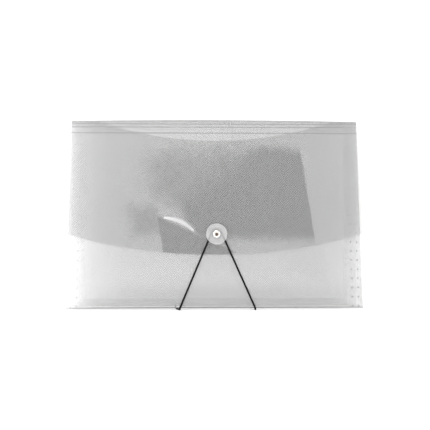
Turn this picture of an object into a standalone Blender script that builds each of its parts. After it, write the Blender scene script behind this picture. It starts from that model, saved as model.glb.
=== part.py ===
"""Expanding portfolio case of scored polypropylene sheet, with a flap, a button and an elastic cord.

Metres, +Z up. The case stands on its bottom edges, its front faces -Y and its width runs along X.
The origin is the centre of the footprint. One cut sheet makes the back panel, the scored spine, the
flap, the folding bottom and the front panel; each stretch between two scores is its own object here,
because every score is a living hinge. Two folded gusset sheets close the sides.
"""

import math

import bmesh
import bpy
from mathutils import Matrix, Vector

# The sheet
SHEET = 0.0008  # thickness of every panel
GAP = 0.0003  # clearance between two pieces that lie face to face
FOLD_SETBACK = 0.0006  # how far a strip ends from the axis of its living hinge
CREASE = 0.0007  # from a welded flange's face to the axis of the gusset fold beside it

# The case
HEIGHT = 0.2970
WIDTH = 0.4560
DEPTH = 0.0420  # across the bottom, outer face to outer face
EDGE_LIFT = 0.0033  # the front edge stands this high, on the two ends of the cord
FRONT_TOP = 0.2950  # height of the front panel's top edge
TOP_DEPTH = 0.0050  # from the back panel's rear face to the front panel's top edge
BACK_Y = 0.0229  # the back panel's rear face, which centres the footprint on the origin

# The flap and its scored spine
SPINE_WIDTH = 0.4545
FLAP_CORNER_WIDTH = 0.4620  # the flap widens towards its lower corners
FLAP_CORNER_Z = 0.1175
FLAP_MIDDLE_Z = 0.0843  # the lowest point of its curved lower edge
FLAP_CORNER_RADIUS = 0.0085
FLAP_STANDOFF = 0.0016  # from the front panel to the flap, room for the rivet's tail
SCORE_SPACING = (0.0053, 0.0053, 0.0097)  # the three strips below the top fold
SCORE_SETBACK = 0.0002

# The front panel's scooped opening
SCOOP_HALF_WIDTH = 0.1846
SCOOP_DEPTH = 0.0316

# The gussets
FLANGE_WIDTH = 0.0200
FLANGE_TOP = 0.2850
LEAF_TOP = 0.2350
LEAF_ANGLE = math.radians(50)  # between a leaf and the panel it hinges on
BOTTOM_ANGLE = math.radians(35)  # how far the bottom is folded up at its middle score
MIDDLE_SETBACK = 0.0016  # leaves and strips stop short of the open middle scores
LEAF_LIFT = 0.0040  # the leaves' lower corner clears the bottom by this much
STRIP_SIDE_GAP = 0.0010  # from the bottom strips to the case's sides

# The button
BUTTON_X = 0.0023
BUTTON_Z = 0.1159
BUTTON_RADIUS = 0.0165
POST_RADIUS = 0.0062
SHANK_RADIUS = 0.0025
SHANK_HOLE = 0.0028
BACKING_RADIUS = 0.0065
BACKING_BOTTOM = 0.0005  # the washer's inner face, measured from the front panel
POST_HEIGHT = 0.0038
DISC_THICKNESS = 0.0012
HEAD_HEIGHT = 0.0022
HEAD_RADIUS = 0.0064
HEAD_RIM = 0.0003  # height of the head's straight rim
HEAD_CROWN_RADIUS = 0.0032  # where the head is highest, round its recess
RECESS_RADIUS = 0.0026
RECESS_DEPTH = 0.0013

# The elastic cord and its barbed ends
CORD_RADIUS = 0.0015
LOOP_RADIUS = 0.0080  # of the cord's centreline round the post
CORD_LOW = 0.00165  # height of its centreline under the front edge
CORD_STANDOFF = 0.0023  # from the front panel's face to the centreline at the bottom
CORD_BEND = 0.0028
CORD_FOOT_X = (-0.0539, 0.0610)
CORD_END = 0.0006  # how far the cord runs back from the bottom of its bend
LOOP_STANDOFF = 0.0046  # of the loop's centreline from the front panel
CORD_SPLAY = 0.0006  # each leg turns outward this much as it goes round the edge
BARB_TIP_RADIUS = 0.0005
BARB_TIP_Z = 0.0076
WRAP_STEPS = 4
LEG_STEPS = 13
LOOP_STEPS = 12
BARB_TIP_X = (-0.0610, 0.0615)
BARB_HOLE_RADIUS = 0.0021

# The slope of the front panel, and the lines that the folds turn about
LEAN = math.atan((DEPTH - TOP_DEPTH) / (FRONT_TOP - EDGE_LIFT))
FOLD_INSET = 2 * SHEET + GAP + CREASE  # from a panel's outer face to the fold axis inside it
BACK_FOLD_Y = BACK_Y - FOLD_INSET
BACK_FOLD = Vector((0, BACK_FOLD_Y, SHEET / 2))
FRONT_FOLD_Z = EDGE_LIFT + SHEET / 2


def front_face_y(z):
    """Where the front panel's outer face is at height z."""
    return BACK_Y - DEPTH + (z - EDGE_LIFT) * math.tan(LEAN)


FRONT_FOLD = Vector((0, front_face_y(EDGE_LIFT) + FOLD_INSET / math.cos(LEAN), FRONT_FOLD_Z))
# The back fold, the front fold and the pleat between them meet in one point near the top
APEX_Z = EDGE_LIFT + (BACK_FOLD_Y - FOLD_INSET / math.cos(LEAN) - BACK_Y + DEPTH) / math.tan(LEAN)
APEX_Y = BACK_FOLD_Y
BARB_TIP_Y = FRONT_FOLD.y + 0.0040
UP_FRONT = Vector((0, math.sin(LEAN), math.cos(LEAN)))
OUT_FRONT = Vector((0, -math.cos(LEAN), math.sin(LEAN)))
ACROSS = Vector((1, 0, 0))


def clear_scene():
    for old in list(bpy.data.objects):
        bpy.data.objects.remove(old, do_unlink=True)


def new_collection(name):
    collection = bpy.data.collections.new(name)
    bpy.context.scene.collection.children.link(collection)
    return collection


def material(name, colour, roughness, metallic=0.0, alpha=1.0):
    made = bpy.data.materials.new(name)
    made.use_nodes = True
    shader = made.node_tree.nodes["Principled BSDF"]
    shader.inputs["Base Color"].default_value = (*colour, 1)
    shader.inputs["Roughness"].default_value = roughness
    shader.inputs["Metallic"].default_value = metallic
    shader.inputs["Alpha"].default_value = alpha
    return made


def frame_matrix(origin, x_axis, y_axis):
    """A placement whose local X and Y run along the two axes given."""
    z_axis = x_axis.cross(y_axis)
    turn = Matrix((x_axis, y_axis, z_axis)).transposed()
    return Matrix.Translation(origin) @ turn.to_4x4()


def arc(centre_x, centre_y, radius, start, end, steps):
    """Points on an arc from one angle to another, in degrees."""
    points = []
    for i in range(steps + 1):
        angle = math.radians(start + (end - start) * i / steps)
        points.append((centre_x + radius * math.cos(angle), centre_y + radius * math.sin(angle)))
    return points


def mesh_from_curve(name, curve_object, finish, collection):
    """Turns a curve into a closed mesh object in the same place."""
    bpy.context.view_layer.update()
    evaluated = curve_object.evaluated_get(bpy.context.evaluated_depsgraph_get())
    mesh = bpy.data.meshes.new_from_object(evaluated)
    mesh.name = name
    shape = bmesh.new()
    shape.from_mesh(mesh)
    bmesh.ops.remove_doubles(shape, verts=shape.verts, dist=0.00001)
    bmesh.ops.recalc_face_normals(shape, faces=shape.faces)
    shape.to_mesh(mesh)
    shape.free()
    made = bpy.data.objects.new(name, mesh)
    made.matrix_world = curve_object.matrix_world
    collection.objects.link(made)
    mesh.materials.clear()
    mesh.materials.append(finish)
    bpy.data.objects.remove(curve_object, do_unlink=True)
    return made


def plate(name, outline, thickness, placement, finish, collection):
    """A flat piece: an outline in local XY, as thick as given, centred on the local XY plane."""
    curve = bpy.data.curves.new(name + "_outline", "CURVE")
    curve.dimensions = "2D"
    curve.fill_mode = "BOTH"
    curve.extrude = thickness / 2
    spline = curve.splines.new("POLY")
    spline.points.add(len(outline) - 1)
    for point, (x, y) in zip(spline.points, outline):
        point.co = (x, y, 0, 1)
    spline.use_cyclic_u = True
    flat = bpy.data.objects.new(name + "_outline", curve)
    collection.objects.link(flat)
    flat.matrix_world = placement
    return mesh_from_curve(name, flat, finish, collection)


def tube(name, points, radii, resolution, finish, collection):
    """A round bar through the points, with one radius for each of them."""
    curve = bpy.data.curves.new(name + "_line", "CURVE")
    curve.dimensions = "3D"
    curve.bevel_depth = 1.0
    curve.bevel_resolution = resolution
    curve.use_fill_caps = True
    spline = curve.splines.new("POLY")
    spline.points.add(len(points) - 1)
    for target, point, radius in zip(spline.points, points, radii):
        target.co = (*point, 1)
        target.radius = radius
    line = bpy.data.objects.new(name + "_line", curve)
    collection.objects.link(line)
    made = mesh_from_curve(name, line, finish, collection)
    made.data.shade_smooth()
    made.data.set_sharp_from_angle(angle=math.radians(50))
    return made


def turned(name, profile, placement, finish, collection, steps=36):
    """A turned piece: a closed profile of (radius, height) points, up its outer side, spun about local Z."""
    mesh = bpy.data.meshes.new(name)
    shape = bmesh.new()
    corners = [shape.verts.new((radius, 0, height)) for radius, height in reversed(profile)]
    for a, b in zip(corners, corners[1:] + corners[:1]):
        if a.co.x > 0 or b.co.x > 0:
            shape.edges.new((a, b))
    shape.to_mesh(mesh)
    shape.free()
    mesh.materials.append(finish)
    made = bpy.data.objects.new(name, mesh)
    collection.objects.link(made)
    made.matrix_world = placement
    spin = made.modifiers.new("spin", "SCREW")
    spin.axis = "Z"
    spin.steps = steps
    spin.render_steps = steps
    spin.use_merge_vertices = True
    spin.merge_threshold = 0.00001
    mesh.shade_smooth()
    mesh.set_sharp_from_angle(angle=math.radians(35))
    return made


def cut(target, cutter):
    """Takes the cutter's shape out of the target."""
    cutter.hide_render = True
    cutter.display_type = "WIRE"
    hole = target.modifiers.new(cutter.name, "BOOLEAN")
    hole.operation = "DIFFERENCE"
    hole.solver = "EXACT"
    hole.object = cutter


def cylinder_cutter(name, radius, length, placement, sides, cutters):
    mesh = bpy.data.meshes.new(name)
    shape = bmesh.new()
    bmesh.ops.create_cone(
        shape, cap_ends=True, segments=sides, radius1=radius, radius2=radius, depth=length
    )
    shape.to_mesh(mesh)
    shape.free()
    made = bpy.data.objects.new(name, mesh)
    cutters.objects.link(made)
    made.matrix_world = placement
    return made


def smooth_route(keys, steps):
    """Points on a smooth curve through the key points (Catmull-Rom)."""
    padded = [keys[0]] + list(keys) + [keys[-1]]
    points = []
    for a, b, c, d in zip(padded, padded[1:], padded[2:], padded[3:]):
        for i in range(steps):
            t = i / steps
            points.append(
                0.5 * (2 * b + (c - a) * t + (2 * a - 5 * b + 4 * c - d) * t * t)
                + 0.5 * (3 * b - a - 3 * c + d) * t * t * t
            )
    points.append(keys[-1])
    return points


def extruded_section(name, section, finish, collection):
    """A cross-section in YZ, as (y, z) points, run across the whole width of the case."""
    placement = frame_matrix(Vector((0, 0, 0)), Vector((0, 1, 0)), Vector((0, 0, 1)))
    return plate(name, section, WIDTH, placement, finish, collection)


def make_back_panel(finish, parts):
    """The back panel with its lower edge turned forward."""
    section = [
        (BACK_Y, 0),
        (BACK_Y, HEIGHT - SHEET - GAP),
        (BACK_Y - SHEET, HEIGHT - SHEET - GAP),
        (BACK_Y - SHEET, SHEET),
        (BACK_FOLD_Y + GAP, SHEET),
        (BACK_FOLD_Y + GAP, 0),
    ]
    return extruded_section("back_panel", section, finish, parts)


def make_front_panel(finish, parts, cutters):
    """The leaning front panel, its lower edge turned back, with the scooped opening at the top."""
    across = SHEET / math.cos(LEAN)
    low = EDGE_LIFT
    lip_end = FRONT_FOLD.y - GAP
    section = [
        (front_face_y(low), low),
        (lip_end, low),
        (lip_end, low + SHEET),
        (front_face_y(low + SHEET) + across, low + SHEET),
        (front_face_y(FRONT_TOP) + across, FRONT_TOP),
        (front_face_y(FRONT_TOP), FRONT_TOP),
    ]
    panel = extruded_section("front_panel", section, finish, parts)
    radius = (SCOOP_HALF_WIDTH**2 + SCOOP_DEPTH**2) / (2 * SCOOP_DEPTH)
    centre = Vector((0, front_face_y(FRONT_TOP), FRONT_TOP - SCOOP_DEPTH + radius))
    placement = Matrix.Translation(centre) @ Matrix.Rotation(math.pi / 2, 4, "X")
    cut(panel, cylinder_cutter("scoop", radius, 4 * TOP_DEPTH, placement, 160, cutters))


def flap_half_width(down):
    """Half the flap's width at a distance down its slope from the top fold."""
    to_corner = (HEIGHT - SHEET / 2 - FLAP_CORNER_Z) / math.cos(LEAN)
    return (SPINE_WIDTH + (FLAP_CORNER_WIDTH - SPINE_WIDTH) * down / to_corner) / 2


def make_flap(finish, parts, cutters):
    """The spine's four strips and the flap."""
    top_z = HEIGHT - SHEET / 2
    middle = FLAP_STANDOFF + SHEET / 2
    front_corner = Vector((0, front_face_y(top_z) - middle / math.cos(LEAN), top_z))
    back_corner_y = BACK_Y - SHEET / 2
    half = SPINE_WIDTH / 2
    top_strip = [
        (-half, back_corner_y - SCORE_SETBACK),
        (half, back_corner_y - SCORE_SETBACK),
        (half, front_corner.y + SCORE_SETBACK),
        (-half, front_corner.y + SCORE_SETBACK),
    ]
    level = Matrix.Translation((0, 0, top_z))
    plate("spine_strip_1", top_strip, SHEET, level, finish, parts)

    slope = frame_matrix(front_corner, ACROSS, UP_FRONT)
    start = SHEET / 2 + GAP
    end = 0.0
    for number, spacing in enumerate(SCORE_SPACING, start=2):
        end += spacing
        upper = flap_half_width(start)
        lower = flap_half_width(end)
        strip = [
            (-upper, -start),
            (upper, -start),
            (lower, SCORE_SETBACK - end),
            (-lower, SCORE_SETBACK - end),
        ]
        plate(f"spine_strip_{number}", strip, SHEET, slope, finish, parts)
        start = end + SCORE_SETBACK

    to_corner = (top_z - FLAP_CORNER_Z) / math.cos(LEAN)
    to_middle = (top_z - FLAP_MIDDLE_Z) / math.cos(LEAN)
    sag = to_middle - to_corner
    half = FLAP_CORNER_WIDTH / 2
    radius = (half**2 + sag**2) / (2 * sag)
    swing = math.degrees(math.asin((half - FLAP_CORNER_RADIUS) / radius))
    edge = arc(0, radius - to_middle, radius, 270 - swing, 270 + swing, 48)
    side = half - FLAP_CORNER_RADIUS
    round_y = edge[-1][1] + FLAP_CORNER_RADIUS
    right = arc(side, round_y, FLAP_CORNER_RADIUS, 270 + swing, 360, 8)
    left = [(-x, y) for x, y in reversed(right)]
    upper = flap_half_width(start)
    outline = [(-upper, -start)] + left[:-1] + edge + right[1:] + [(upper, -start)]
    flap = plate("flap_panel", outline, SHEET, slope, finish, parts)
    hole = cylinder_cutter("shank_hole", SHANK_HOLE, 0.01, button_placement(0), 24, cutters)
    cut(flap, hole)


def button_placement(standoff):
    """Local Z runs out of the flap along the button's axis; standoff is from the front panel."""
    foot = Vector((BUTTON_X, front_face_y(BUTTON_Z), BUTTON_Z))
    return frame_matrix(foot + OUT_FRONT * standoff, ACROSS, UP_FRONT)


def make_button(disc_finish, metal_finish, parts):
    """From the inside out: backing washer, spacer post, disc, and the rivet that holds them."""
    placement = button_placement(0)
    backing_top = FLAP_STANDOFF - GAP
    post_bottom = FLAP_STANDOFF + SHEET + GAP
    post_top = post_bottom + POST_HEIGHT
    disc_bottom = post_top + GAP
    disc_top = disc_bottom + DISC_THICKNESS
    head_bottom = disc_top + GAP
    head_top = head_bottom + HEAD_HEIGHT
    ring = [
        (BACKING_RADIUS, BACKING_BOTTOM),
        (BACKING_RADIUS, backing_top),
        (SHANK_HOLE, backing_top),
        (SHANK_HOLE, BACKING_BOTTOM),
    ]
    turned("button_backing", ring, placement, metal_finish, parts)
    post = [
        (POST_RADIUS, post_bottom),
        (POST_RADIUS, post_top),
        (SHANK_HOLE, post_top),
        (SHANK_HOLE, post_bottom),
    ]
    turned("button_post", post, placement, disc_finish, parts)
    rounding = DISC_THICKNESS / 2
    rim = arc(BUTTON_RADIUS - rounding, disc_bottom + rounding, rounding, -90, 90, 6)
    disc = rim + [(SHANK_HOLE, disc_top), (SHANK_HOLE, disc_bottom)]
    turned("button_disc", disc, placement, disc_finish, parts, steps=64)
    head = [
        (0, BACKING_BOTTOM),
        (SHANK_RADIUS, BACKING_BOTTOM),
        (SHANK_RADIUS, head_bottom),
        (HEAD_RADIUS - HEAD_RIM, head_bottom),
        (HEAD_RADIUS, head_bottom + HEAD_RIM),
        (HEAD_RADIUS * 0.89, head_top - HEAD_HEIGHT * 0.45),
        (HEAD_RADIUS * 0.69, head_top - HEAD_HEIGHT * 0.09),
        (HEAD_CROWN_RADIUS, head_top),
        (RECESS_RADIUS, head_top - HEAD_HEIGHT * 0.14),
        (RECESS_RADIUS * 0.62, head_top - RECESS_DEPTH * 0.92),
        (0, head_top - RECESS_DEPTH),
    ]
    turned("button_rivet", head, placement, metal_finish, parts)


def make_bottom(finish, parts, cutters):
    """The two strips of the bottom, folded up between the back and the front."""
    span = BACK_FOLD - FRONT_FOLD
    length = span.length / 2 / math.cos(BOTTOM_ANGLE)
    rise = math.atan2(FRONT_FOLD.z - BACK_FOLD.z, abs(span.y))
    end = length - MIDDLE_SETBACK
    side = WIDTH / 2 - STRIP_SIDE_GAP  # the corners are cut at 45 degrees, clear of the leaves
    outline = [
        (-side + FOLD_SETBACK, FOLD_SETBACK),
        (side - FOLD_SETBACK, FOLD_SETBACK),
        (side - end, end),
        (-side + end, end),
    ]
    up_back = BOTTOM_ANGLE + rise
    up_front = BOTTOM_ANGLE - rise
    back_way = Vector((0, -math.cos(up_back), math.sin(up_back)))
    front_way = Vector((0, math.cos(up_front), math.sin(up_front)))
    back_place = frame_matrix(BACK_FOLD, ACROSS, back_way)
    front_place = frame_matrix(FRONT_FOLD, ACROSS, front_way)
    plate("bottom_strip_back", outline, SHEET, back_place, finish, parts)
    strip = plate("bottom_strip_front", outline, SHEET, front_place, finish, parts)
    for name, x in (("left_barb_hole", BARB_TIP_X[0]), ("right_barb_hole", BARB_TIP_X[1])):
        placement = Matrix.Translation((x, BARB_TIP_Y, 0.006))
        cut(strip, cylinder_cutter(name, BARB_HOLE_RADIUS, 0.02, placement, 24, cutters))


def make_gusset(side, name, finish, parts):
    """One side: two flanges welded inside the panels and two leaves that meet at the pleat."""
    edge = side * WIDTH / 2
    inner = side * (WIDTH / 2 - FLANGE_WIDTH)
    back_inside = BACK_Y - SHEET - GAP - SHEET / 2
    low = SHEET + 3 * GAP
    back_flange = [(inner, low), (edge, low), (edge, FLANGE_TOP), (inner, FLANGE_TOP)]
    back_place = frame_matrix(Vector((0, back_inside, 0)), ACROSS, Vector((0, 0, 1)))
    plate(name + "_back_flange", back_flange, SHEET, back_place, finish, parts)

    foot = Vector((0, front_face_y(EDGE_LIFT), EDGE_LIFT)) - OUT_FRONT * (SHEET * 1.5 + GAP)
    front_place = frame_matrix(foot, ACROSS, UP_FRONT)
    top = (FLANGE_TOP - EDGE_LIFT) / math.cos(LEAN)
    front_flange = [(inner, low), (edge, low), (edge, top), (inner, top)]
    plate(name + "_front_flange", front_flange, SHEET, front_place, finish, parts)

    fold_x = side * (WIDTH / 2 - SHEET / 2)
    half_gap = (BACK_FOLD_Y - FRONT_FOLD.y) / 2
    pleat_foot = Vector(
        (fold_x - side * half_gap / math.tan(LEAF_ANGLE), BACK_FOLD_Y - half_gap, FRONT_FOLD_Z)
    )
    apex = Vector((fold_x, APEX_Y, APEX_Z))
    for panel, fold in (("back", BACK_FOLD), ("front", FRONT_FOLD)):
        hinge_foot = Vector((fold_x, fold.y, fold.z))
        up = (apex - hinge_foot).normalized()
        reach = pleat_foot - hinge_foot
        inward = (reach - up * reach.dot(up)).normalized()
        width = reach.dot(inward)
        height = (apex - hinge_foot).length
        leaf = leaf_outline(width, height)
        placement = frame_matrix(hinge_foot, inward, up)
        plate(f"{name}_{panel}_leaf", leaf, SHEET, placement, finish, parts)


def leaf_outline(width, height):
    """A leaf in its own plane: X runs inward from the fold, Y up along it; it narrows to the apex."""
    top = LEAF_TOP - FRONT_FOLD_Z
    near = FOLD_SETBACK
    slope = width / height

    def pleat_at(y):
        return width - slope * y - MIDDLE_SETBACK

    bottom = LEAF_LIFT + near
    corner = (width - MIDDLE_SETBACK - slope * LEAF_LIFT) / (1 + slope)
    return [(near, bottom), (corner, LEAF_LIFT + corner), (pleat_at(top), top), (near, top)]


def cord_wrap(side, foot_x):
    """The cord's centreline round the front panel's lower edge, from its end to the foot of a leg."""
    bend_y = front_face_y(EDGE_LIFT) - CORD_STANDOFF + CORD_BEND
    bend_z = CORD_LOW + CORD_BEND
    points = [Vector((foot_x + side * CORD_SPLAY, bend_y + CORD_END, CORD_LOW))]
    for step in range(WRAP_STEPS + 1):
        angle = math.pi / 2 * step / WRAP_STEPS
        x = foot_x + side * CORD_SPLAY * (1 - step / WRAP_STEPS)
        points.append(
            Vector((x, bend_y - CORD_BEND * math.sin(angle), bend_z - CORD_BEND * math.cos(angle)))
        )
    return points


def cord_route():
    """The whole centreline: round the edge, up a leg, over the post, down the other leg and back."""
    loop_plane = button_placement(LOOP_STANDOFF)
    halves = []
    headings = []
    for side, foot_x in zip((-1, 1), CORD_FOOT_X):
        wrap = cord_wrap(side, foot_x)
        away = (loop_plane.inverted() @ wrap[-1]).to_2d()
        heading = math.atan2(away.y, away.x) + side * math.acos(LOOP_RADIUS / away.length)
        touch = loop_point(loop_plane, heading)
        leg = [wrap[-1].lerp(touch, i / LEG_STEPS) for i in range(1, LEG_STEPS + 1)]
        halves.append(wrap + leg)
        headings.append(heading)
    left, right = headings
    left += 2 * math.pi
    turns = [left + (right - left) * i / LOOP_STEPS for i in range(1, LOOP_STEPS)]
    return halves[0] + [loop_point(loop_plane, turn) for turn in turns] + halves[1][::-1]


def loop_point(loop_plane, heading):
    x = LOOP_RADIUS * math.cos(heading)
    y = LOOP_RADIUS * math.sin(heading)
    return loop_plane @ Vector((x, y, 0))


def make_cord(cord_finish, barb_finish, parts):
    """The elastic cord in one piece, and the barb at each end that passes through the bottom."""
    route = cord_route()
    tube("elastic_cord", route, [CORD_RADIUS] * len(route), 2, cord_finish, parts)
    mouth = front_face_y(EDGE_LIFT) - CORD_STANDOFF + CORD_BEND + CORD_END + GAP
    for side, name, foot_x, tip_x in zip((-1, 1), ("left", "right"), CORD_FOOT_X, BARB_TIP_X):
        start = foot_x + side * CORD_SPLAY
        across = tip_x - start
        keys = [
            Vector((start, mouth, CORD_LOW)),
            Vector((start + across * 0.03, mouth + 0.0011, CORD_LOW)),
            Vector((start + across * 0.40, mouth + 0.0026, CORD_LOW)),
            Vector((start + across * 0.85, mouth + 0.0038, 0.0023)),
            Vector((tip_x, BARB_TIP_Y - 0.0004, 0.0042)),
            Vector((tip_x, BARB_TIP_Y, 0.0062)),
            Vector((tip_x, BARB_TIP_Y - 0.0003, BARB_TIP_Z)),
        ]
        line = smooth_route(keys, 3)
        taper = (CORD_RADIUS - BARB_TIP_RADIUS) / (len(line) - 1)
        radii = [CORD_RADIUS - taper * i for i in range(len(line))]
        tube("cord_barb_" + name, line, radii, 2, barb_finish, parts)


def main():
    clear_scene()
    parts = new_collection("portfolio_case")
    cutters = new_collection("cutters")
    sheet = material("frosted_polypropylene", (0.80, 0.80, 0.80), 0.42, alpha=0.55)
    disc = material("frosted_disc", (0.82, 0.82, 0.82), 0.35, alpha=0.75)
    metal = material("bright_rivet", (0.86, 0.85, 0.83), 0.18, metallic=1.0)
    cord = material("black_elastic", (0.010, 0.010, 0.010), 0.75)
    barb = material("black_barb", (0.012, 0.012, 0.012), 0.35)
    make_back_panel(sheet, parts)
    make_front_panel(sheet, parts, cutters)
    make_flap(sheet, parts, cutters)
    make_bottom(sheet, parts, cutters)
    for side, name in ((-1, "left"), (1, "right")):
        make_gusset(side, name, sheet, parts)
    make_button(disc, metal, parts)
    make_cord(cord, barb, parts)


main()
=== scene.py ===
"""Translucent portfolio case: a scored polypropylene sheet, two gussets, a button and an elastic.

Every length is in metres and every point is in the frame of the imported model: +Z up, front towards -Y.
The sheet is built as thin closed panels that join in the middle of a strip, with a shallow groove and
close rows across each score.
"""

import math

import bmesh
import bpy
import numpy as np
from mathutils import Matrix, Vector


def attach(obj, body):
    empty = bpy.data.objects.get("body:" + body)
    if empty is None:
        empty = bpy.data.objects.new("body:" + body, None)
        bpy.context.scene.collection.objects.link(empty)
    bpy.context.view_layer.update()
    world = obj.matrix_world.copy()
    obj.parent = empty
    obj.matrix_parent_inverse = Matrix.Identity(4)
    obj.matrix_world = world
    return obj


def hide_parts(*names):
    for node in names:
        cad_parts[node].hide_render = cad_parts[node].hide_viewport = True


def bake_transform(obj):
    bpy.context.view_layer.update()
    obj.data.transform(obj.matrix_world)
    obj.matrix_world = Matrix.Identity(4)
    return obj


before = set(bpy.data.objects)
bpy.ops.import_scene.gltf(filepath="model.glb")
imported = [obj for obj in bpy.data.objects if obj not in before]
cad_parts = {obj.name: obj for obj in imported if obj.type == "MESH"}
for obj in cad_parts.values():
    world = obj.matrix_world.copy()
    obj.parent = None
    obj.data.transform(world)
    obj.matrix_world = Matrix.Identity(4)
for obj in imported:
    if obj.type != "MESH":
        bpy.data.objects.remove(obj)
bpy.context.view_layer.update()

# ---------------------------------------------------------------- sizes of the case, as in the CAD
SHEET = 0.0008
GAP = 0.0003
CREASE = 0.0007
HEIGHT = 0.2970
WIDTH = 0.4560
DEPTH = 0.0420
EDGE_LIFT = 0.0033
FRONT_TOP = 0.2950
TOP_DEPTH = 0.0050
BACK_Y = 0.0229
SPINE_WIDTH = 0.4545
FLAP_CORNER_WIDTH = 0.4620
FLAP_CORNER_Z = 0.1175
FLAP_MIDDLE_Z = 0.0843
FLAP_CORNER_RADIUS = 0.0085
FLAP_STANDOFF = 0.0016
SCORES = (0.0053, 0.0106, 0.0203)  # down the slope from the top fold
SCOOP_HALF_WIDTH = 0.1846
SCOOP_DEPTH = 0.0316
FLANGE_WIDTH = 0.0200
FLANGE_TOP = 0.2850
LEAF_ANGLE = math.radians(50)
BOTTOM_ANGLE = math.radians(35)
BUTTON_X = 0.0023
BUTTON_Z = 0.1159
CORD_RADIUS = 0.0015
LOOP_RADIUS = 0.0080
CORD_LOW = 0.00165
CORD_STANDOFF = 0.0023
CORD_BEND = 0.0028
CORD_FOOT_X = (-0.0539, 0.0610)
CORD_END = 0.0006
LOOP_STANDOFF = 0.0046
CORD_SPLAY = 0.0006  # each end of the cord turns outwards by this much under the edge
BARB_TIP_X = (-0.0610, 0.0615)
WELD_FIRST = 0.0200
WELD_PITCH = 0.0140
WELD_INSETS = (0.0065, 0.0160)

LEAN = math.atan((DEPTH - TOP_DEPTH) / (FRONT_TOP - EDGE_LIFT))
UP_FRONT = np.array((0.0, math.sin(LEAN), math.cos(LEAN)))
OUT_FRONT = np.array((0.0, -math.cos(LEAN), math.sin(LEAN)))
FOLD_INSET = 2 * SHEET + GAP + CREASE
BACK_FOLD = np.array((0.0, BACK_Y - FOLD_INSET, SHEET / 2))


def front_face_y(z):
    """Where the front panel's outer face is at a height."""
    return BACK_Y - DEPTH + (z - EDGE_LIFT) * math.tan(LEAN)


FRONT_FOLD = np.array(
    (0.0, front_face_y(EDGE_LIFT) + FOLD_INSET / math.cos(LEAN), EDGE_LIFT + SHEET / 2)
)
APEX_Z = EDGE_LIFT + (BACK_FOLD[1] - FOLD_INSET / math.cos(LEAN) - BACK_Y + DEPTH) / math.tan(LEAN)

# ---------------------------------------------------------------- mesh helpers


def refined(start, stop, step, fine_at=(), reach=0.0016, fine=0.0004):
    """Positions from start to stop, a step apart, and close together around each place in fine_at."""
    count = max(2, int(round((stop - start) / step)) + 1)
    values = list(np.linspace(start, stop, count))
    for place in fine_at:
        values = [v for v in values if abs(v - place) > reach + step * 0.3 or v in (start, stop)]
        values += list(np.arange(place - reach, place + reach + fine / 2, fine))
    values = sorted(v for v in values if start <= v <= stop)
    kept = [values[0]]
    for v in values[1:]:
        if v - kept[-1] > 1e-5:
            kept.append(v)
    return np.array(kept)


def surface_normals(points):
    """Unit normals of a grid of points."""
    along = np.gradient(points, axis=0)
    across = np.gradient(points, axis=1)
    normals = np.cross(across, along)
    return normals / np.maximum(np.linalg.norm(normals, axis=2, keepdims=True), 1e-12)


def sheet_from_grid(name, middle, outward, material, thickness=SHEET):
    """A closed thin sheet about a grid of points on its middle surface, with its outer side outward."""
    rows, columns, _ = middle.shape
    normals = surface_normals(middle)
    flip = float(normals[rows // 2, columns // 2] @ np.asarray(outward)) < 0
    if flip:
        normals = -normals
    outer = (middle + normals * thickness / 2).reshape(-1, 3)
    inner = (middle - normals * thickness / 2).reshape(-1, 3)
    points = np.vstack((outer, inner))
    count = rows * columns
    faces = []
    for r in range(rows - 1):
        for c in range(columns - 1):
            a = r * columns + c
            quad = (a, a + 1, a + columns + 1, a + columns)
            faces.append(quad)
            faces.append(tuple(count + i for i in reversed(quad)))
    rim = list(range(columns))
    rim += [r * columns + columns - 1 for r in range(1, rows)]
    rim += [(rows - 1) * columns + c for c in range(columns - 2, -1, -1)]
    rim += [r * columns for r in range(rows - 2, 0, -1)]
    for a, b in zip(rim, rim[1:] + rim[:1]):
        faces.append((b, a, count + a, count + b))
    if flip:
        faces = [tuple(reversed(f)) for f in faces]
    return mesh_object(name, points, faces, material)


def mesh_object(name, points, faces, material, sharp=40):
    """An object of these points and faces, shaded smooth up to the sharp angle in degrees."""
    mesh = bpy.data.meshes.new(name)
    mesh.from_pydata([tuple(p) for p in points], [], faces)
    mesh.validate()
    shape = bmesh.new()
    shape.from_mesh(mesh)
    bmesh.ops.remove_doubles(shape, verts=shape.verts, dist=1e-7)
    bmesh.ops.recalc_face_normals(shape, faces=shape.faces)
    shape.to_mesh(mesh)
    shape.free()
    mesh.materials.append(material)
    mesh.shade_smooth()
    mesh.set_sharp_from_angle(angle=math.radians(sharp))
    made = bpy.data.objects.new(name, mesh)
    bpy.context.scene.collection.objects.link(made)
    return made


def tube_mesh(name, route, radii, sides, material, relief=None):
    """A closed round tube with a ring at each point of the route; relief adds to the radius."""
    route = np.asarray(route, float)
    tangents = np.gradient(route, axis=0)
    tangents /= np.linalg.norm(tangents, axis=1, keepdims=True)
    side = np.cross(tangents[0], (0, 0, 1.0))
    if np.linalg.norm(side) < 0.1:
        side = np.cross(tangents[0], (1.0, 0, 0))
    side /= np.linalg.norm(side)
    points = []
    length = 0.0
    for i, (p, t) in enumerate(zip(route, tangents)):
        if i:
            length += float(np.linalg.norm(p - route[i - 1]))
        side = side - t * side.dot(t)
        side /= np.linalg.norm(side)
        other = np.cross(t, side)
        for k in range(sides):
            angle = 2 * math.pi * k / sides
            radius = radii[i]
            if relief is not None:
                radius += relief(angle, length)
            points.append(p + radius * (side * math.cos(angle) + other * math.sin(angle)))
    faces = []
    for i in range(len(route) - 1):
        for k in range(sides):
            a = i * sides + k
            b = i * sides + (k + 1) % sides
            faces.append((a, b, b + sides, a + sides))
    faces.append(tuple(reversed(range(sides))))
    last = (len(route) - 1) * sides
    faces.append(tuple(last + k for k in range(sides)))
    return mesh_object(name, points, faces, material, sharp=60)


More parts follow.
